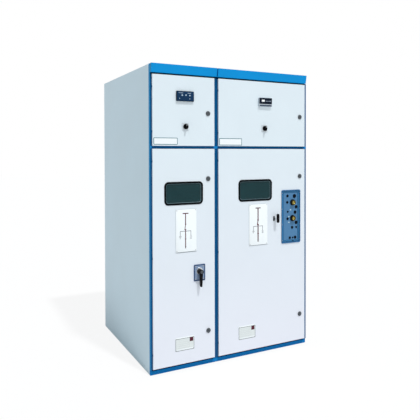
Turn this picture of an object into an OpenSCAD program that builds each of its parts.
// Ring main unit: a load switch cabinet and a breaker cabinet standing side by side.
// Millimetres, +Z up, front towards -Y, origin on the floor under the middle of the lineup.

/* [Cabinets] */
// Overall height
cab_h = 2100; // [2060:10:2300]
// Width of the left cabinet, which holds the load switch
left_w = 500; // [480:10:600]
// Width of the right cabinet, which holds the breaker
right_w = 800; // [780:10:1000]
// Depth from the front plane of the frame to the rear covers
body_d = 1120; // [1060:10:1300]
// Thickness of the folded sheet
sheet_t = 2; // [1.5:0.5:2.5]
// Gap between the two cabinets
seam = 0.4; // [0.2:0.1:0.8]

/* [Frame] */
// Width of a front post
post_w = 45; // [44:1:60]
// Depth of a post's inner flange
post_d = 40; // [30:1:60]
// Depth of a post's outer flange, in front of the side panel
post_side = 50; // [42:1:58]
// Thickness of posts and rails
frame_t = 2.5; // [2:0.5:4]
// Height of the base rails
base_h = 36; // [30:1:60]
// Depth of the base rails
base_d = 70; // [64:1:90]
// Setback of the front base rail behind the frame
base_setback = 8; // [0:1:20]
// Thickness of the base rails
base_t = 3; // [2:0.5:5]
// Radius of an anchor hole
anchor_r = 7; // [5:0.5:9]
// Distance of an anchor hole from the cabinet's side
anchor_in = 60; // [40:1:120]
// Depth of the front rails
rail_d = 68; // [62:1:76]

/* [Header] */
// Height of the cornice
header_h = 60; // [40:1:100]
// Reach of its lower edge in front of the frame
header_low = 20; // [16:1:40]
// Reach of its upper edge in front of the frame
header_top = 30; // [20:1:60]
// Distance of its end from the seam between the cabinets
header_seam = 4; // [1:0.5:8]
// Distance of its right end from the side of the lineup
header_trim = 16; // [0:1:20]

/* [Doors] */
// Distance of the door face from the frame
door_proud = 14; // [14:0.5:16]
// Gap between a door's flange and the frame
door_gap = 2; // [2:0.5:4]
// Door edge to cabinet side, hinge side
hinge_margin = 12.5; // [10:0.5:14]
// Door edge to cabinet side, lock side of the left cabinet
lock_margin = 20; // [14:0.5:22]
// Door edge to cabinet side, lock side of the right cabinet
end_margin = 23; // [16:0.5:23]
// Bottom of the lower doors
low_door_z = 45; // [40:1:55]
// Drop from the top to the middle of the strip between upper and lower doors
split_down = 560; // [500:5:580]
// Gap between upper and lower doors
split_gap = 20; // [12:1:30]
// Gap between the cornice and the upper doors
top_gap = 10; // [6:1:20]
// Width of a rubber seal strip
seal_w = 8; // [6:1:9]

/* [Hinges] */
// Pivot's distance from the door edge
pivot_in = 4.5; // [4:0.5:5]
// Pivot's distance in front of the frame
pivot_out = 8; // [8:0.5:9]
// Radius of the hinge pin
pin_r = 2.5; // [2:0.1:2.5]
// Running clearance of pins and shafts
run_gap = 0.05; // [0.02:0.01:0.1]

/* [Locks] */
// Lock axis to the cabinet's side
lock_in = 72; // [69:1:76]
// Reach of the cam
cam_l = 40; // [36:1:46]
// Radius of the lock plug
plug_r = 7; // [5:0.5:8]
// Drop from the top to the upper doors' locks
lock_upper_down = 322; // [200:1:400]
// Drop from the strip between the doors to the lower doors' upper locks
lock_mid_down = 220; // [140:1:290]
// Lower lock height on the lower doors
lock_low_z = 246; // [200:1:300]

/* [Windows] */
// Window width over its rubber frame
win_w = 292; // [240:1:300]
// Window height over its rubber frame
win_h = 160; // [120:1:180]
// Corner radius of the rubber frame
win_r = 30; // [20:1:40]
// Drop from the strip between the doors to the middle of the windows
win_down = 316; // [310:1:340]
// Middle of the left window, left of its cabinet's middle
win_left_off = 9; // [0:1:20]
// Middle of the right window from its cabinet's side
win_right_x = 322; // [250:1:350]

/* [Instruments] */
// Width of the live-line indicator
indicator_w = 130; // [100:1:150]
// Height of the live-line indicator
indicator_h = 69; // [50:1:80]
// Width of the protection relay
relay_w = 112; // [100:1:150]
// Height of the protection relay
relay_h = 64; // [50:1:80]
// Drop from the top to the middle of the indicator
indicator_down = 210; // [190:1:250]
// Drop from the top to the middle of the relay
relay_down = 222; // [190:1:250]
// Drop from the top to the rotary selectors
selector_down = 417; // [380:1:430]
// Edge of a selector's square front plate
selector_w = 52; // [44:1:60]
// Radius of a selector knob
knob_r = 18.5; // [12:0.5:20]

/* [Handles] */
// Lever axis from the left cabinet's right side
lever_in = 142; // [120:1:160]
// Height of the lever axis
lever_z = 675; // [620:1:700]
// Length of the lever
lever_l = 106; // [80:1:140]
// Reach of the lever in front of the door
lever_reach = 40; // [34:1:60]
// Oval knob's axis from the right cabinet's right side
oval_in = 296; // [284:1:310]
// Drop from the middle of the mechanism panel to the oval knob
oval_down = 4; // [0:1:40]
// Height of the oval grip
oval_h = 68; // [50:1:80]
// Width of the oval grip
oval_w = 22; // [16:1:26]

/* [Mechanism] */
// Middle of the mechanism panel from the right cabinet's right side
mech_in = 156; // [150:1:170]
// Drop from the strip between the doors to the middle of the mechanism panel
mech_down = 528; // [500:1:560]
// Width over the panel's rim
mech_w = 176; // [160:1:180]
// Height over the panel's rim
mech_h = 408; // [380:1:420]
// Depth of the mechanism housing behind the frame
mech_d = 180; // [120:1:240]
// Height of the isolator socket over the middle of the panel
socket_up = 107; // [80:1:130]
// Drop from the middle of the panel to the earthing socket
socket_down = 15; // [0:1:40]
// Radius of a socket's brass collar
socket_r = 19; // [15:0.5:22]

/* [Conductors] */
// Length of a post insulator
post_l = 130; // [125:1:150]
// Radius of an insulator's core
core_r = 22; // [18:1:26]
// Radius of an insulator's sheds
shed_r = 32; // [28:1:36]
// Width of the flat copper bars
bar_w = 40; // [30:1:50]
// Thickness of the flat copper bars
bar_t = 8; // [6:1:10]
// Thickness of a switch blade
blade_t = 8; // [6:1:10]
// Radius of the switch shafts
shaft_r = 12; // [10:0.5:13]
// Phase distance in the left cabinet
left_pitch = 140; // [125:1:145]
// Phase distance in the right cabinet
right_pitch = 210; // [200:1:220]

/* [Hidden] */
$fn = 48;
total_w = left_w + right_w;
clear = 0.3;
loose = 1;
door_skin = sheet_t;
door_y = -door_proud;
skin_back = door_y + door_skin;
flange_y = -door_gap;
header_z = cab_h - header_h;
split_z = cab_h - split_down;
up_door_top = header_z - top_gap;
up_door_low = split_z + split_gap / 2;
low_door_top = split_z - split_gap / 2;
lever_front = door_proud + lever_reach;
front_y = -(body_d - lever_front) / 2;
field_h = 8;
field_in = 45;
rear_y = body_d - sheet_t - field_h;
roof_drop = 8;
roof_top = cab_h - roof_drop;
roof_lip = 22;
flap_w = 260;
flap_y = [520, 820];
cover_up = 50;
cover_split = cab_h / 2 + cover_up;
mid_rail_h = 70;
end_rail_h = 44;
tray_z = split_z + mid_rail_h / 2;
tray_d = 380;
return_w = 25;
seal_in = 14;
lug_h = 12;
eye_h = 14;
eye_r = 5;
hinge_in = 90;
two_hinge_h = 800;
door_x0 = hinge_margin;
pivot_x = door_x0 + pivot_in;
rib_d = 20;
rib_w = 30;
rib_end = 45;
rib_up = 65;
rib_down = 50;
low_rib_up = 475;
low_rib_down = 110;
upper_ribs = [up_door_low + rib_up, up_door_top - rib_down];
lower_ribs = [low_door_z + low_rib_up, low_door_top - low_rib_down];
lock_upper_z = cab_h - lock_upper_down;
low_locks = [split_z - lock_mid_down, lock_low_z];
nut_r = 13;
rose_r = 17;
rose_t = 5;
barrel_r = 9;
cam_t = 3;
cam_w = 14;
cam_y = frame_t + loose;
win_x = [left_w / 2 - win_left_off, win_right_x];
win_z = split_z - win_down;
gasket_t = 3;
gasket_w = 13;
glass_t = 4;
glass_y = skin_back + loose;
groove = 2;
meter_off = [-1, 4];
meter_x = [left_w / 2 + meter_off[0], right_w / 2 + meter_off[1]];
meter_z = [cab_h - indicator_down, cab_h - relay_down];
meter_lip = 10;
indicator_proud = 12;
indicator_d = 60;
relay_proud = 14;
relay_d = 90;
selector_off = [4, 2];
selector_x = [left_w / 2 + selector_off[0], right_w / 2 + selector_off[1]];
selector_z = cab_h - selector_down;
selector_neck = 11;
stem_r = 4;
plate_t = 3;
block_w = 40;
block_d = 57;
lever_x = left_w - lever_in;
lever_shaft_r = 9;
sleeve_r = 13;
handle_w = 89;
handle_h = 116;
handle_t = 4;
mech_x = right_w - mech_in;
mech_z = split_z - mech_down;
mech_front = skin_back;
bezel_t = 6;
bezel_w = 8;
bezel_r = 10;
socket_off = 18;
socket_x = mech_x + socket_off;
socket_z = [mech_z + socket_up, mech_z - socket_down];
socket_shaft_r = 8;
oval_x = right_w - oval_in;
oval_z = mech_z - oval_down;
oval_shaft_r = 6;
boss_r = 11;
shaft_y = 545;
hinge_down = 385;
jaw_down = 155;
hinge_z = split_z - hinge_down;
jaw_z = split_z - jaw_down;
block_back = 15;
block_deep = 30;
block_front = shaft_y + block_back;
tip_y = block_front + block_deep;
beam_y = tip_y + post_l;
beam_d = 40;
beam_h = 50;
block_h = 50;
leaf_t = 5;
leaf_gap = blade_t / 2 + clear;
blade_w = 24;
foot_lip = 4;
waist = 3;
bus_y = 700;
bus_h = 60;
bus_margin = 70;
bus_down = [440, 300, 160];
bus_z = [for (d = bus_down) cab_h - d];
bus_beam_y = bus_y + bar_t + post_l;
stub_h = 40;
pole_down = [505, 105];
pole_z = [for (d = pole_down) hinge_z - d];
pole_d = 90;
pole_w = 96;
pole_back = block_front;
left_low_z = 560;
left_post_z = 640;
right_low_down = 230;
right_post_down = 180;
ct_down = 70;
cable_low = [left_low_z, pole_z[0] - right_low_down];
cable_post_z = [left_post_z, pole_z[0] - right_post_down];
ct_z = pole_z[0] - ct_down;
ct_h = 100;
brk_front = 300;
brk_back = pole_back - pole_d;
brk_over = 80;
brk_half = right_pitch + brk_over;
leg_t = 6;
leg_in = 15;
leg_half = brk_half - leg_in;
earth_y = block_front;
earth_down = 320;
earth_z = pole_z[0] - earth_down;
earth_l = 120;
slot_y = [480, 640];
blue = [0.05, 0.36, 0.62];
white = [0.88, 0.93, 0.95];
grey = [0.68, 0.74, 0.78];
steel = [0.7, 0.71, 0.72];
copper = [0.72, 0.43, 0.25];
black = [0.06, 0.06, 0.07];
glass_tint = [0.14, 0.24, 0.26];
case_blue = [0.1, 0.13, 0.25];
case_grey = [0.16, 0.18, 0.22];
plate_blue = [0.45, 0.6, 0.72];
rim_blue = [0.12, 0.38, 0.62];
panel_blue = [0.35, 0.56, 0.73];
brass = [0.8, 0.62, 0.28];
resin = [0.45, 0.16, 0.1];
laminate = [0.75, 0.68, 0.5];

function cab_x(c) = c == 0 ? -total_w / 2 : -total_w / 2 + left_w + seam / 2;
function cab_w(c) = c == 0 ? left_w - seam / 2 : right_w - seam / 2;
function door_x1(c) = cab_w(c) - (c == 0 ? lock_margin : end_margin);
function lock_x(c) = cab_w(c) - lock_in;
function phase_x(c, p) = cab_w(c) / 2 + (p - 1) * (c == 0 ? left_pitch : right_pitch);
function hinge_list(z0, z1) = z1 - z0 > two_hinge_h
  ? [z0 + hinge_in, (z0 + z1) / 2, z1 - hinge_in]
  : [z0 + hinge_in, z1 - hinge_in];
upper_hinges = hinge_list(up_door_low, up_door_top);
lower_hinges = hinge_list(low_door_z, low_door_top);

// Places children in a cabinet: x from its left side, y from the frame's front plane
module in_cabinet(c) {
  translate([cab_x(c), front_y, 0]) children();
}

// Box between two corners
module slab(lo, hi) {
  translate(lo) cube(hi - lo);
}

// Extrudes an outline drawn in x and z from y0 to y1
module face_plate(y0, y1) {
  translate([0, y1, 0]) rotate([90, 0, 0]) linear_extrude(y1 - y0) children();
}

// Round bar along y
module y_rod(r, y0, y1) {
  translate([0, y1, 0]) rotate([90, 0, 0]) cylinder(r = r, h = y1 - y0);
}

// Round bar along x
module x_rod(r, x0, x1) {
  translate([x0, 0, 0]) rotate([0, 90, 0]) cylinder(r = r, h = x1 - x0);
}

// Rectangle with round corners, centred
module round_rect(w, h, r) {
  square([w - 2 * r, h], center = true);
  square([w, h - 2 * r], center = true);
  for (sx = [-1, 1], sz = [-1, 1]) translate([sx * (w / 2 - r), sz * (h / 2 - r)]) circle(r);
}

// Channel along x with its open side to the rear
module channel(x0, x1, y, d, z0, z1, t) {
  difference() {
    slab([x0, y, z0], [x1, y + d, z1]);
    slab([x0 - loose, y + t, z0 + t], [x1 + loose, y + d + loose, z1 - t]);
  }
}

// Base rails with their anchor holes
module base_rail(c, y, open_rear) {
  w = cab_w(c);
  hole_y = y + base_d / 2;
  difference() {
    slab([sheet_t, y, 0], [w - sheet_t, y + base_d, base_h]);
    slab([0, open_rear ? y + base_t : y - loose, base_t],
         [w, open_rear ? y + base_d + loose : y + base_d - base_t, base_h - base_t]);
    for (x = [anchor_in, w - anchor_in])
      translate([x, hole_y, -loose]) cylinder(r = anchor_r, h = base_t + 2 * loose);
  }
}
module base_rails() {
  color(blue) for (c = [0, 1]) in_cabinet(c) {
    base_rail(c, base_setback, true);
    base_rail(c, rear_y - base_d, false);
  }
}

// Open-backed front posts; the lock side has keeper slots for the cams
module post() {
  translate([0, 0, base_h]) linear_extrude(header_z - base_h) polygon([
    [0, 0], [post_w, 0], [post_w, post_d], [post_w - frame_t, post_d],
    [post_w - frame_t, frame_t], [frame_t, frame_t], [frame_t, post_side], [0, post_side]
  ]);
}
module front_posts() {
  color(blue) for (c = [0, 1]) in_cabinet(c) {
    post();
    difference() {
      translate([cab_w(c), 0, 0]) mirror([1, 0, 0]) post();
      for (z = concat([lock_upper_z], low_locks))
        slab([cab_w(c) - post_w - loose, frame_t, z - cam_l - 2 * loose],
             [cab_w(c) - post_w + frame_t + loose, cam_y + cam_t + 2 * loose, z + cam_w / 2 + 2 * loose]);
    }
  }
}

// Sill, middle and top rail between the posts
module front_rails() {
  color(blue) for (c = [0, 1]) in_cabinet(c)
    for (z = [[base_h, base_h + end_rail_h], [split_z - mid_rail_h / 2, tray_z],
              [header_z - end_rail_h, header_z]])
      channel(post_w, cab_w(c) - post_w, 0, rail_d, z[0], z[1], frame_t);
}

// Cornice with a face that leans forward, open underneath behind the frame
module headers() {
  lean = (header_top - header_low) / header_h;
  color(blue) for (c = [0, 1]) in_cabinet(c) translate([c == 0 ? 0 : header_seam, 0, 0]) difference() {
    long = cab_w(c) - header_seam - (c == 0 ? 0 : header_trim);
    rotate([90, 0, 90]) linear_extrude(long) polygon([
      [-header_low, header_z], [-header_top, cab_h], [post_side, cab_h], [post_side, header_z]
    ]);
    translate([sheet_t, 0, 0]) rotate([90, 0, 90]) linear_extrude(long - 2 * sheet_t) polygon([
      [-header_low + sheet_t - lean * sheet_t, header_z + sheet_t],
      [-header_top + sheet_t + lean * sheet_t, cab_h - sheet_t],
      [post_side - sheet_t, cab_h - sheet_t], [post_side - sheet_t, header_z - loose],
      [sheet_t, header_z - loose], [sheet_t, header_z + sheet_t]
    ]);
  }
}

// Side sheet with front and rear returns
module wall_sheet() {
  low = base_h + sheet_t + loose;
  high = roof_top - roof_lip - 2 * loose;
  slab([0, post_side, 0], [sheet_t, rear_y, cab_h]);
  slab([0, post_side, low], [sheet_t + return_w, post_side + sheet_t, high]);
  slab([0, rear_y - sheet_t, low], [sheet_t + return_w, rear_y, high]);
}
module side_panels() {
  color(grey) {
    in_cabinet(0) wall_sheet();
    in_cabinet(1) translate([cab_w(1), 0, 0]) mirror([1, 0, 0]) wall_sheet();
  }
}

// Walls between the cabinets: four sheets round a window for the busbars
module inner_wall() {
  y0 = bus_y - bus_margin;
  y1 = bus_y + bar_t + bus_margin;
  z0 = bus_z[0] - bus_margin;
  z1 = bus_z[2] + bus_margin;
  wide = return_w + 2 * sheet_t;
  for (zone = [
    [[0, y0], [0, cab_h]], [[y1, body_d], [0, cab_h]],
    [[y0 + clear, y1 - clear], [0, z0]], [[y0 + clear, y1 - clear], [z1, cab_h]]
  ]) intersection() {
    wall_sheet();
    slab([0, zone[0][0], zone[1][0]], [wide, zone[0][1], zone[1][1]]);
  }
}
module inner_walls() {
  color(steel) {
    in_cabinet(0) translate([cab_w(0), 0, 0]) mirror([1, 0, 0]) inner_wall();
    in_cabinet(1) inner_wall();
  }
}

// Roof pans with a relief opening
module roof_panels() {
  color(grey) for (c = [0, 1]) in_cabinet(c) difference() {
    slab([sheet_t, post_side, roof_top - roof_lip], [cab_w(c) - sheet_t, rear_y, roof_top]);
    slab([2 * sheet_t, post_side + sheet_t, roof_top - roof_lip - loose],
         [cab_w(c) - 2 * sheet_t, rear_y - sheet_t, roof_top - sheet_t]);
    slab([cab_w(c) / 2 - flap_w / 2, flap_y[0], roof_top - roof_lip],
         [cab_w(c) / 2 + flap_w / 2, flap_y[1], cab_h]);
  }
}
module relief_flaps() {
  lap = 20;
  color(grey) for (c = [0, 1]) in_cabinet(c)
    slab([cab_w(c) / 2 - flap_w / 2 - lap, flap_y[0] - lap, roof_top],
         [cab_w(c) / 2 + flap_w / 2 + lap, flap_y[1] + lap, roof_top + sheet_t]);
}

// Bolted rear covers, lower and upper, each with a pressed raised field
module rear_cover(w, z0, z1) {
  difference() {
    union() {
      slab([0, rear_y, z0], [w, rear_y + sheet_t, z1]);
      slab([field_in, rear_y, z0 + field_in], [w - field_in, body_d, z1 - field_in]);
    }
    slab([field_in + sheet_t, rear_y - loose, z0 + field_in + sheet_t],
         [w - field_in - sheet_t, body_d - sheet_t, z1 - field_in - sheet_t]);
  }
}
module rear_covers() {
  color(grey) for (c = [0, 1]) in_cabinet(c) {
    rear_cover(cab_w(c), sheet_t, cover_split - clear);
    rear_cover(cab_w(c), cover_split, cab_h);
  }
}

// Floor sheets, in front of and behind the cable slot
module floor_plates() {
  color(steel) for (c = [0, 1]) in_cabinet(c) {
    slab([sheet_t, rail_d, base_h], [cab_w(c) - sheet_t, slot_y[0], base_h + sheet_t]);
    slab([sheet_t, slot_y[1], base_h], [cab_w(c) - sheet_t, rear_y, base_h + sheet_t]);
  }
}

// Floor and back of each instrument compartment
module instrument_sheets() {
  color(steel) for (c = [0, 1]) in_cabinet(c) {
    slab([sheet_t, post_side + sheet_t + loose, tray_z],
         [cab_w(c) - sheet_t, tray_d + sheet_t, tray_z + sheet_t]);
    slab([sheet_t, tray_d, tray_z + sheet_t + clear],
         [cab_w(c) - sheet_t, tray_d + sheet_t, roof_top - roof_lip]);
  }
}

// Rubber strips between door and frame
module seal_frame(c, z0, z1) {
  x0 = door_x0 + seal_in;
  x1 = door_x1(c) - seal_in;
  y0 = skin_back + clear;
  slab([x0, y0, z0 + seal_in], [x1, 0, z0 + seal_in + seal_w]);
  slab([x0, y0, z1 - seal_in - seal_w], [x1, 0, z1 - seal_in]);
  for (x = [x0, x1 - seal_w])
    slab([x, y0, z0 + seal_in + seal_w + clear], [x + seal_w, 0, z1 - seal_in - seal_w - clear]);
}
module door_seals() {
  color(black) for (c = [0, 1]) in_cabinet(c) {
    seal_frame(c, low_door_z, low_door_top);
    seal_frame(c, up_door_low, up_door_top);
  }
}

// Hinge lugs with their upright pins, welded to the posts
module hinge_pins() {
  color(steel) for (c = [0, 1]) in_cabinet(c)
    for (z = concat(upper_hinges, lower_hinges)) {
      slab([pivot_x - pin_r, -pivot_out - pin_r, z], [pivot_x + pin_r, 0, z + lug_h]);
      translate([pivot_x, -pivot_out, z]) cylinder(r = pin_r, h = lug_h + eye_h);
    }
}

// Pan door: skin, flanges with hinge notches, hinge eyes and stiffening ribs
// The children are the outlines cut out of the skin
module door_pan(c, z0, z1, hinges, ribs) {
  x0 = door_x0;
  x1 = door_x1(c);
  difference() {
    union() {
      face_plate(door_y, skin_back) difference() {
        translate([x0, z0]) square([x1 - x0, z1 - z0]);
        children();
      }
      face_plate(skin_back, flange_y) difference() {
        translate([x0, z0]) square([x1 - x0, z1 - z0]);
        translate([x0 + door_skin, z0 + door_skin])
          square([x1 - x0 - 2 * door_skin, z1 - z0 - 2 * door_skin]);
      }
      for (z = hinges) translate([pivot_x, -pivot_out, z + lug_h + clear]) cylinder(r = eye_r, h = eye_h);
      for (z = ribs) rib(x0 + rib_end, lock_x(c) - rib_end, z);
    }
    for (z = hinges) {
      translate([pivot_x, -pivot_out, z]) cylinder(r = pin_r + run_gap, h = lug_h + eye_h + loose);
      slab([x0 - loose, skin_back, z - loose], [x0 + door_skin + loose, 0, z + lug_h + clear]);
    }
  }
}

// Hat rib welded behind a door skin
module rib(x0, x1, z) {
  difference() {
    slab([x0, skin_back, z - rib_w / 2], [x1, skin_back + rib_d, z + rib_w / 2]);
    slab([x0 - loose, skin_back, z - rib_w / 2 + sheet_t],
         [x1 + loose, skin_back + rib_d - sheet_t, z + rib_w / 2 - sheet_t]);
  }
}

// Holes for locks, selectors and built-in instruments
module lock_hole(c, z) {
  translate([lock_x(c), z]) circle(barrel_r + clear);
}
module meter_hole(c, w, h) {
  translate([meter_x[c], meter_z[c]])
    square([w - 2 * meter_lip + loose, h - 2 * meter_lip + loose], center = true);
}
module selector_hole(c) {
  translate([selector_x[c], selector_z]) circle(selector_neck + clear);
}
module window_hole(c) {
  lap = gasket_w / 2;
  translate([win_x[c], win_z]) round_rect(win_w - 2 * lap, win_h - 2 * lap, win_r - lap);
}
module door_upper_left() {
  color(white) in_cabinet(0) door_pan(0, up_door_low, up_door_top, upper_hinges, upper_ribs) {
    union() {
      lock_hole(0, lock_upper_z);
      meter_hole(0, indicator_w, indicator_h);
      selector_hole(0);
    }
  }
}
module door_upper_right() {
  color(white) in_cabinet(1) door_pan(1, up_door_low, up_door_top, upper_hinges, upper_ribs) {
    union() {
      lock_hole(1, lock_upper_z);
      meter_hole(1, relay_w, relay_h);
      selector_hole(1);
    }
  }
}
module door_lower_left() {
  color(white) in_cabinet(0) door_pan(0, low_door_z, low_door_top, lower_hinges, lower_ribs) {
    union() {
      for (z = low_locks) lock_hole(0, z);
      window_hole(0);
      translate([lever_x, lever_z]) circle(sleeve_r + clear);
    }
  }
}
module door_lower_right() {
  color(white) in_cabinet(1) difference() {
    union() {
      door_pan(1, low_door_z, low_door_top, lower_hinges, lower_ribs) {
        union() {
          for (z = low_locks) lock_hole(1, z);
          window_hole(1);
          translate([mech_x, mech_z]) round_rect(mech_w - bezel_w, mech_h - bezel_w, bezel_w);
        }
      }
      translate([oval_x, 0, oval_z]) y_rod(boss_r, skin_back, 0);
    }
    translate([oval_x, 0, oval_z]) y_rod(oval_shaft_r + run_gap, door_y - loose, loose);
  }
}

// Window: glass in a rubber frame with a lip over the door skin
module window_pane(c) {
  in = gasket_w - groove;
  color(glass_tint) in_cabinet(c) translate([win_x[c], 0, win_z])
    face_plate(glass_y, glass_y + glass_t) round_rect(win_w - 2 * in, win_h - 2 * in, win_r - in);
}
module window_gasket(c) {
  lap = gasket_w / 2 + clear;
  in = gasket_w - groove;
  color(black) in_cabinet(c) translate([win_x[c], 0, win_z]) difference() {
    union() {
      face_plate(door_y - gasket_t, door_y) round_rect(win_w, win_h, win_r);
      face_plate(door_y, glass_y + glass_t + groove)
        round_rect(win_w - 2 * lap, win_h - 2 * lap, win_r - lap);
    }
    face_plate(door_y - 2 * gasket_t, 2 * gasket_t)
      round_rect(win_w - 2 * gasket_w, win_h - 2 * gasket_w, win_r - gasket_w);
    face_plate(glass_y, glass_y + glass_t) round_rect(win_w - 2 * in, win_h - 2 * in, win_r - in);
  }
}
module window_pane_left() { window_pane(0); }
module window_pane_right() { window_pane(1); }
module window_gasket_left() { window_gasket(0); }
module window_gasket_right() { window_gasket(1); }

// Cam lock: threaded housing with rose and nut, and the turning plug with its cam
module lock_housing(c, z) {
  translate([lock_x(c), 0, z]) difference() {
    union() {
      y_rod(rose_r, door_y - rose_t, door_y);
      y_rod(barrel_r, door_y, flange_y);
      translate([0, skin_back + rose_t, 0]) rotate([90, 0, 0]) cylinder(r = nut_r, h = rose_t, $fn = 6);
    }
    y_rod(plug_r + run_gap, door_y - rose_t - loose, loose);
  }
}
module lock_cam(c, z) {
  slot_w = 2;
  color(steel) in_cabinet(c) translate([lock_x(c), 0, z]) difference() {
    union() {
      y_rod(plug_r, door_y - rose_t - loose / 2, cam_y + cam_t);
      slab([-cam_w / 2, cam_y, cam_w / 2 - cam_l], [cam_w / 2, cam_y + cam_t, 0]);
      translate([0, 0, cam_w / 2 - cam_l]) y_rod(cam_w / 2, cam_y, cam_y + cam_t);
    }
    slab([-slot_w / 2, door_y - rose_t - loose, -plug_r + slot_w],
         [slot_w / 2, door_y - slot_w, plug_r - slot_w]);
  }
}
module lock_housing_upper_left() { color(steel) in_cabinet(0) lock_housing(0, lock_upper_z); }
module lock_housings_lower_left() { color(steel) in_cabinet(0) for (z = low_locks) lock_housing(0, z); }
module lock_housing_upper_right() { color(steel) in_cabinet(1) lock_housing(1, lock_upper_z); }
module lock_housings_lower_right() { color(steel) in_cabinet(1) for (z = low_locks) lock_housing(1, z); }
module lock_cam_upper_left() { lock_cam(0, lock_upper_z); }
module lock_cam_mid_left() { lock_cam(0, low_locks[0]); }
module lock_cam_low_left() { lock_cam(0, low_locks[1]); }
module lock_cam_upper_right() { lock_cam(1, lock_upper_z); }
module lock_cam_mid_right() { lock_cam(1, low_locks[0]); }
module lock_cam_low_right() { lock_cam(1, low_locks[1]); }

// Rotary selector: square front plate with contact block, and its knob
module selector_base(c) {
  color(grey) in_cabinet(c) translate([selector_x[c], 0, selector_z]) difference() {
    union() {
      face_plate(door_y - plate_t, door_y) round_rect(selector_w, selector_w, plate_t);
      y_rod(selector_neck, door_y, skin_back);
      face_plate(skin_back, skin_back + block_d) square(block_w, center = true);
    }
    y_rod(stem_r + run_gap, door_y - 2 * plate_t, block_d / 2);
  }
}
module selector_knob(c) {
  knob_y = door_y - plate_t - clear;
  disc_t = 8;
  grip_t = 22;
  grip_w = 11;
  color(black) in_cabinet(c) translate([selector_x[c], 0, selector_z]) {
    y_rod(knob_r, knob_y - disc_t, knob_y);
    y_rod(stem_r, knob_y, block_d / 2 - 2 * loose);
    face_plate(knob_y - grip_t, knob_y - disc_t) intersection() {
      circle(knob_r);
      square([grip_w, 2 * knob_r], center = true);
    }
  }
}
module selector_base_left() { selector_base(0); }
module selector_base_right() { selector_base(1); }
module selector_knob_left() { selector_knob(0); }
module selector_knob_right() { selector_knob(1); }

// Built-in instrument: bezel on the door and a body through it
module built_in(c, w, h, bezel, depth) {
  in_cabinet(c) translate([meter_x[c], 0, meter_z[c]]) {
    face_plate(door_y - bezel, door_y) round_rect(w, h, plate_t);
    face_plate(door_y, skin_back + depth) square([w - 2 * meter_lip, h - 2 * meter_lip], center = true);
  }
}
module live_indicator() {
  color(case_blue) built_in(0, indicator_w, indicator_h, indicator_proud, indicator_d);
}
module protection_relay() {
  color(case_grey) built_in(1, relay_w, relay_h, relay_proud, relay_d);
}

// Lever of the load switch on its bearing plate
module handle_plate() {
  drop = 10;
  color(plate_blue) in_cabinet(0) translate([lever_x, 0, lever_z]) difference() {
    union() {
      translate([0, 0, -drop]) face_plate(door_y - handle_t, door_y)
        round_rect(handle_w, handle_h, 2 * handle_t);
      y_rod(sleeve_r, door_y, skin_back + rib_d);
    }
    y_rod(lever_shaft_r + run_gap, door_y - 2 * handle_t, 2 * rib_d);
  }
}
module operating_lever() {
  hub_r = 16;
  hub_y = door_y - handle_t - clear;
  root_r = 12;
  tip_r = 7;
  arm_t = 14;
  arm_back = 5;
  cap_t = 3;
  front = -lever_front;
  color(black) in_cabinet(0) translate([lever_x, 0, lever_z]) {
    difference() {
      y_rod(hub_r, front, hub_y);
      y_rod(hub_r - cap_t, front - loose, front + cap_t);
    }
    y_rod(lever_shaft_r, hub_y, skin_back + rib_d + 2 * loose);
    face_plate(front + arm_back, front + arm_back + arm_t) {
      polygon([[-root_r, 0], [root_r, 0], [tip_r, tip_r - lever_l], [-tip_r, tip_r - lever_l]]);
      translate([0, tip_r - lever_l]) circle(tip_r);
    }
  }
}

// Rim round the mechanism cut-out in the right door
module mechanism_bezel() {
  step = bezel_w / 2 + clear;
  color(rim_blue) in_cabinet(1) translate([mech_x, 0, mech_z]) difference() {
    union() {
      face_plate(door_y - bezel_t, door_y) round_rect(mech_w, mech_h, bezel_r);
      face_plate(door_y, skin_back + bezel_t) round_rect(mech_w - 2 * step, mech_h - 2 * step, bezel_w);
    }
    face_plate(door_y - 2 * bezel_t, 2 * bezel_t)
      round_rect(mech_w - 2 * bezel_w, mech_h - 2 * bezel_w, bezel_w / 2);
  }
}

// Mechanism housing behind the cut-out, open below, held by a bracket plate on the side panel
module mechanism_housing() {
  gap = 2;
  wall = 3;
  bearing_l = 60;
  bearing_r = 14;
  half_w = mech_w / 2 - bezel_w - gap;
  half_h = mech_h / 2 - bezel_w - gap;
  color(panel_blue) in_cabinet(1) difference() {
    union() {
      difference() {
        slab([mech_x - half_w, mech_front, mech_z - half_h], [mech_x + half_w, mech_d, mech_z + half_h]);
        slab([mech_x - half_w + wall, mech_front + wall, mech_z - half_h - loose],
             [mech_x + half_w - wall, mech_d - wall, mech_z + half_h - wall]);
      }
      slab([mech_x - half_w, mech_d - wall, mech_z - half_h], [cab_w(1) - sheet_t, mech_d, mech_z + half_h]);
      for (z = socket_z)
        translate([socket_x, 0, z]) y_rod(bearing_r, mech_front, mech_front + bearing_l);
    }
    for (z = socket_z)
      translate([socket_x, 0, z])
        y_rod(socket_shaft_r + run_gap, mech_front - loose, mech_front + bearing_l + loose);
  }
}

// Brass drive sockets with a square hole for the crank
module drive_socket(z) {
  collar_l = 18;
  bore_r = 13;
  bore_l = 8;
  square_w = 14;
  back = mech_front - clear;
  color(brass) in_cabinet(1) translate([socket_x, 0, z]) difference() {
    union() {
      y_rod(socket_r, back - collar_l, back);
      y_rod(socket_shaft_r, back, mech_front + 3 * collar_l);
    }
    y_rod(bore_r, back - collar_l - loose, back - collar_l + bore_l);
    face_plate(back - collar_l, back - collar_l / 4) square(square_w, center = true);
  }
}
module drive_socket_high() { drive_socket(socket_z[0]); }
module drive_socket_low() { drive_socket(socket_z[1]); }

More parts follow.
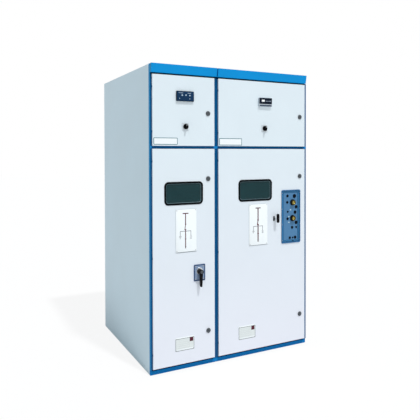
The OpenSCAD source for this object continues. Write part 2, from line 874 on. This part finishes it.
// Oval turn knob standing off the right door on a stem, with its retaining collar inside
module oval_knob() {
  rose = 9;
  rose_l = 3;
  stem = 5;
  stem_l = 26;
  grip_t = 10;
  collar_t = 5;
  back = door_y - clear;
  color(black) in_cabinet(1) translate([oval_x, 0, oval_z]) {
    y_rod(rose, back - rose_l, back);
    y_rod(stem, back - stem_l, back);
    face_plate(back - stem_l - grip_t, back - stem_l) round_rect(oval_w, oval_h, oval_w / 2 - clear);
    y_rod(oval_shaft_r, back, clear);
    y_rod(boss_r - loose, clear, clear + collar_t);
  }
}

// Channels from wall to wall that carry insulators and transformers
module cross_beam(c, y, z) {
  channel(sheet_t, cab_w(c) - sheet_t, y, beam_d, z - beam_h / 2, z + beam_h / 2, frame_t);
}
module cross_beams() {
  color(steel) for (c = [0, 1]) in_cabinet(c) {
    for (z = bus_z) cross_beam(c, bus_beam_y, z);
    for (z = [jaw_z, hinge_z, cable_post_z[c]]) cross_beam(c, beam_y, z);
    if (c == 1) cross_beam(c, beam_y, ct_z);
  }
}

// Ribbed resin insulators, axis along y, base on a beam
module post_insulator() {
  sheds = 4;
  cap_l = 12;
  pitch = (post_l - 2 * cap_l) / sheds;
  neck = core_r - waist;
  shed = [[neck, 0.1], [shed_r, 0.4], [shed_r, 0.55], [neck, 0.9]];
  rotate([90, 0, 0]) rotate_extrude() polygon(concat(
    [[0, 0], [core_r + foot_lip, 0], [core_r + foot_lip, cap_l]],
    [for (i = [0 : sheds - 1], s = shed) [s[0], cap_l + (i + s[1]) * pitch]],
    [[core_r, post_l - cap_l], [core_r, post_l], [0, post_l]]
  ));
}
module post_insulators() {
  color(resin) for (c = [0, 1]) in_cabinet(c) {
    for (z = bus_z) translate([cab_w(c) / 2, bus_beam_y, z]) post_insulator();
    for (p = [0 : 2], z = [jaw_z, hinge_z, cable_post_z[c]])
      translate([phase_x(c, p), beam_y, z]) post_insulator();
  }
}

// Main busbars through both cabinets
module main_busbars() {
  end = 60;
  x0 = cab_x(0) + end;
  x1 = cab_x(1) + cab_w(1) - end;
  color(copper) translate([0, front_y, 0]) for (z = bus_z)
    slab([x0, bus_y, z - bus_h / 2], [x1, bus_y + bar_t, z + bus_h / 2]);
}

// Upright flat bar with its back on the insulator tips
module flat_bar(x, z0, z1) {
  slab([x - bar_w / 2, tip_y - bar_t, z0], [x + bar_w / 2, tip_y, z1]);
}

// Risers from the switches to the busbars, and links from the isolator to the breaker
module copper_links() {
  color(copper) for (c = [0, 1], p = [0 : 2]) in_cabinet(c) {
    x = phase_x(c, p);
    flat_bar(x, jaw_z + block_h / 2, bus_z[p] + bar_t / 2);
    slab([x - bar_w / 2, tip_y - bar_t, bus_z[p] - bar_t / 2],
         [x + bar_w / 2, bus_y, bus_z[p] + bar_t / 2]);
    if (c == 1) {
      flat_bar(x, pole_z[1] - stub_h, hinge_z - block_h / 2);
      slab([x - bar_w / 2, pole_back, pole_z[1] - stub_h],
           [x + bar_w / 2, tip_y, pole_z[1] - stub_h + bar_t]);
    }
  }
}

// Jaw and hinge contacts on the insulators
module contact_block(x, z) {
  slab([x - leaf_gap - leaf_t, block_front, z - block_h / 2],
       [x + leaf_gap + leaf_t, tip_y, z + block_h / 2]);
  for (edge = [-leaf_gap - leaf_t, leaf_gap])
    slab([x + edge, shaft_y - blade_w, z - block_h / 2], [x + edge + leaf_t, block_front, z + block_h / 2]);
}
module switch_contacts() {
  color(copper) for (c = [0, 1], p = [0 : 2]) in_cabinet(c) {
    contact_block(phase_x(c, p), jaw_z);
    difference() {
      contact_block(phase_x(c, p), hinge_z);
      translate([phase_x(c, p), shaft_y, hinge_z]) x_rod(shaft_r + run_gap, -bar_w, bar_w);
    }
  }
}

// Knife blades on an insulating shaft
module blades(c) {
  hub_t = 2;
  hub_r = shaft_r + hub_t;
  color(copper) in_cabinet(c) for (p = [0 : 2]) translate([phase_x(c, p), shaft_y, 0]) difference() {
    union() {
      translate([0, 0, hinge_z]) x_rod(hub_r, -blade_t / 2, blade_t / 2);
      slab([-blade_t / 2, -blade_w / 2, hinge_z], [blade_t / 2, blade_w / 2, jaw_z + block_h / 3]);
    }
    translate([0, 0, hinge_z]) x_rod(shaft_r + run_gap, -bar_w, bar_w);
  }
}
module blade_shaft(c) {
  end = 30;
  color(laminate) in_cabinet(c) translate([0, shaft_y, hinge_z]) x_rod(shaft_r, end, cab_w(c) - end);
}
module switch_blades() { blades(0); }
module isolator_blades() { blades(1); }
module switch_shaft() { blade_shaft(0); }
module isolator_shaft() { blade_shaft(1); }

// Bars down to the cable ends; the right ones carry jaws for the earthing blades
module cable_bars() {
  lug_r = 6.5;
  lug_up = 20;
  color(copper) for (c = [0, 1], p = [0 : 2]) in_cabinet(c) {
    x = phase_x(c, p);
    low = cable_low[c];
    difference() {
      union() {
        flat_bar(x, low, c == 0 ? hinge_z - block_h / 2 : pole_z[0] + stub_h);
        if (c == 1) {
          slab([x - bar_w / 2, pole_back, pole_z[0] + stub_h - bar_t],
               [x + bar_w / 2, tip_y, pole_z[0] + stub_h]);
          for (s = [-1, 1]) translate([x + s * (leaf_gap + leaf_t / 2), 0, 0])
            slab([-leaf_t / 2, earth_y - blade_w / 2, low], [leaf_t / 2, tip_y - bar_t, low + stub_h]);
        }
      }
      if (c == 0) translate([x, tip_y, low + lug_up]) y_rod(lug_r, -bar_w, bar_w);
    }
  }
}

// Breaker: mechanism box open below on two side plates, with resin poles behind
module breaker_frame() {
  wall = 3;
  floor_z = base_h + sheet_t;
  mid = cab_w(1) / 2;
  color(steel) in_cabinet(1) {
    difference() {
      slab([mid - brk_half, brk_front, pole_z[0]], [mid + brk_half, brk_back, pole_z[1]]);
      slab([mid - brk_half + wall, brk_front + wall, pole_z[0] - loose],
           [mid + brk_half - wall, brk_back - wall, pole_z[1] - wall]);
    }
    for (s = [-1, 1]) difference() {
      slab([mid + s * leg_half - leg_t / 2, brk_front, floor_z],
           [mid + s * leg_half + leg_t / 2, earth_y + 2 * shaft_r, pole_z[0] + wall]);
      translate([mid + s * leg_half, earth_y, earth_z]) x_rod(shaft_r + run_gap, -leg_t, leg_t);
      slab([mid + s * leg_half - leg_t, brk_back, pole_z[0] - stub_h],
           [mid + s * leg_half + leg_t, body_d, pole_z[1]]);
    }
  }
}
module breaker_poles() {
  rings = 5;
  step = 6;
  ring_t = 14;
  mid_y = pole_back - pole_d / 2;
  color(resin) in_cabinet(1) for (p = [0 : 2]) translate([phase_x(1, p), mid_y, pole_z[0]]) {
    linear_extrude(pole_z[1] - pole_z[0]) round_rect(pole_w - 2 * step, pole_d, 3 * step);
    for (i = [1 : rings])
      translate([0, 0, i * (pole_z[1] - pole_z[0]) / (rings + 1) - ring_t / 2])
        linear_extrude(ring_t) round_rect(pole_w, pole_d - 2 * step, 4 * step);
  }
}

// Block current transformers round the right cable bars
module current_transformers() {
  ct_w = 110;
  ct_front = 40;
  ct_d = beam_y - tip_y + ct_front;
  color(resin) in_cabinet(1) for (p = [0 : 2])
    translate([phase_x(1, p), tip_y, ct_z - ct_h / 2]) difference() {
      translate([0, ct_d / 2 - ct_front, 0]) linear_extrude(ct_h) round_rect(ct_w, ct_d, bar_w / 2);
      slab([-bar_w / 2 - loose, -bar_t - loose, -loose], [bar_w / 2 + loose, loose, ct_h + loose]);
    }
}

// Earthing shaft with its three blades, resting open
module earthing_shaft() {
  over = 20;
  mid = cab_w(1) / 2;
  color(steel) in_cabinet(1) translate([0, earth_y, earth_z]) {
    x_rod(shaft_r, mid - leg_half - over, mid + leg_half + over);
    for (p = [0 : 2]) translate([phase_x(1, p), 0, 0])
      slab([-blade_t / 2, -earth_l, -blade_w / 2 + loose], [blade_t / 2, 0, blade_w / 2 - loose]);
  }
}

// Earth bars from wall to wall
module earth_bars() {
  bar_y = 100;
  bar_z = 110;
  color(copper) for (c = [0, 1]) in_cabinet(c)
    slab([sheet_t, bar_y, bar_z], [cab_w(c) - sheet_t, bar_y + bar_t, bar_z + bar_w]);
}

base_rails();
front_posts();
front_rails();
headers();
side_panels();
inner_walls();
roof_panels();
relief_flaps();
rear_covers();
floor_plates();
instrument_sheets();
door_seals();
hinge_pins();
cross_beams();
post_insulators();
main_busbars();
copper_links();
switch_contacts();
cable_bars();
breaker_frame();
breaker_poles();
current_transformers();
earth_bars();
mechanism_housing();
door_upper_left();
door_lower_left();
door_upper_right();
door_lower_right();
window_pane_left();
window_pane_right();
window_gasket_left();
window_gasket_right();
lock_housing_upper_left();
lock_housings_lower_left();
lock_housing_upper_right();
lock_housings_lower_right();
lock_cam_upper_left();
lock_cam_mid_left();
lock_cam_low_left();
lock_cam_upper_right();
lock_cam_mid_right();
lock_cam_low_right();
selector_base_left();
selector_base_right();
selector_knob_left();
selector_knob_right();
live_indicator();
protection_relay();
handle_plate();
operating_lever();
mechanism_bezel();
oval_knob();
drive_socket_high();
drive_socket_low();
switch_shaft();
switch_blades();
isolator_shaft();
isolator_blades();
earthing_shaft();
